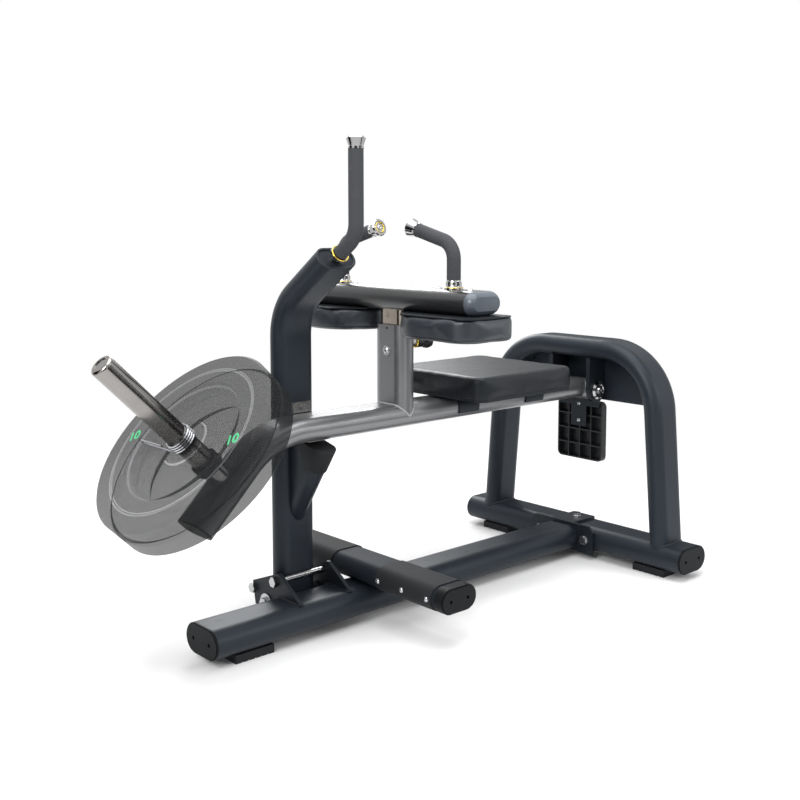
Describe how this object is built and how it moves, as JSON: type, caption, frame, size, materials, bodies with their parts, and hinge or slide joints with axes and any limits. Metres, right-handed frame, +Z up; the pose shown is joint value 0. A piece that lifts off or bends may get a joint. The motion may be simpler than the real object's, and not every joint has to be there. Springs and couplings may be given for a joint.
{
  "type": "seated calf raise machine",
  "caption": "Seated calf raise machine: low oval-tube frame with rear arch, hinged lever arm with seat, knee pads and loaded weight horn, and a swinging catch mast.",
  "frame": {"origin": "on the floor, at the middle of the overall length and on the machine's middle plane", "axes": "+X forwards from the rear crossbeam to the weight horn, +Y to the sitting user's left, +Z up"},
  "size_m": [1.543, 0.77, 1.1159],
  "materials": {
    "frame": "matt textured powder coat",
    "dark_steel": "matt powder coat on plate",
    "gunmetal": "satin metallic coat",
    "steel_shaft": "ground steel",
    "bolt_chrome": "bright plated",
    "chrome": "polished",
    "slider_chrome": "plated, brownish reflections",
    "black_plastic": "fine grain",
    "cap_plastic": "semi gloss",
    "rubber": "matt",
    "grip_rubber": "matt, soft",
    "board": "black stained plywood",
    "upholstery": "semi gloss, fine grain",
    "plate_rubber": null,
    "bronze": "sintered bushing"
  },
  "bodies": {
    "base_frame": {"rear_crossbeam": "frame", "main_beam": "frame", "beam_caps": "cap_plastic", "rubber_feet": "rubber", "saddle": "dark_steel", "saddle_bolts": "bolt_chrome", "arch": "frame", "arch_webs": "dark_steel", "hanger_plates": "dark_steel", "pivot_shaft": "steel_shaft", "pivot_caps": "chrome", "panel_bracket": "dark_steel", "back_panel": "black_plastic", "panel_screws": "bolt_chrome", "foot_bar": "frame", "foot_bar_caps": "cap_plastic", "foot_bar_sleeves": "rubber", "foot_bar_screws": "bolt_chrome", "ear_plates": "dark_steel", "stop_rods": "chrome", "hinge_bolt": "bolt_chrome"},
    "lever": {"lever_arm": "gunmetal", "pivot_sleeve": "gunmetal", "pivot_bushings": "bronze", "arm_cap": "cap_plastic", "wear_strip": "steel_shaft", "horn": "chrome", "horn_boss": "chrome", "horn_bumper": "rubber", "post": "gunmetal", "post_bushing": "black_plastic", "guide_bolt": "bolt_chrome", "pin_body": "steel_shaft", "seat_brackets": "dark_steel", "seat_board": "board", "seat_cushion": "upholstery", "seat_bolts": "bolt_chrome"},
    "knee_carriage": {"slider_tube": "slider_chrome", "knee_bar": "gunmetal", "knee_bar_caps": "cap_plastic", "knee_boards": "board", "knee_pad_left": "upholstery", "knee_pad_right": "upholstery", "knee_bolts": "bolt_chrome", "knee_handles": "chrome", "knee_grips": "grip_rubber", "knee_handle_ends": "chrome"},
    "lock_pin": {"pin_plunger": "steel_shaft", "pin_knob": "black_plastic"},
    "catch_mast": {"mast": "frame", "mast_plate": "dark_steel", "mast_handle": "chrome", "mast_grip": "grip_rubber", "mast_handle_end": "chrome", "catch_block": "dark_steel", "catch_cover": "rubber", "guide_plate": "steel_shaft"},
    "inner_weight": {"inner_plate": "plate_rubber"},
    "outer_weight": {"outer_plate": "plate_rubber"},
    "collar": {"spring_collar": "bolt_chrome"}
  },
  "joints": [
    {"name": "lever_pivot", "type": "hinge", "parent": "base_frame", "child": "lever", "pos_m": [-0.70047, 0, 0.47], "axis": [0, -1, 0], "range_deg": [0, 9]},
    {"name": "mast_hinge", "type": "hinge", "parent": "base_frame", "child": "catch_mast", "pos_m": [0.24053, -0.085, 0.06], "axis": [1, 0, 0], "range_deg": [0, 25]},
    {"name": "knee_slide", "type": "slide", "parent": "lever", "child": "knee_carriage", "axis": [0, 0, 1], "range_m": [-0.028, 0.088]},
    {"name": "lock_pull", "type": "slide", "parent": "lever", "child": "lock_pin", "axis": [-1, 0, 0], "range_m": [0, 0.012], "stiffness_N_per_m": 600, "springref_m": -0.012},
    {"name": "inner_plate_spin", "type": "hinge", "parent": "lever", "child": "inner_weight", "pos_m": [0.54001, 0, 0.44993], "axis": [0.7132, 0, 0.7009], "continuous": true},
    {"name": "outer_plate_spin", "type": "hinge", "parent": "lever", "child": "outer_weight", "pos_m": [0.57068, 0, 0.48007], "axis": [0.7132, 0, 0.7009], "continuous": true},
    {"name": "collar_slide", "type": "slide", "parent": "lever", "child": "collar", "axis": [0.7132, 0, 0.7009], "range_m": [0, 0.18]}
  ]
}
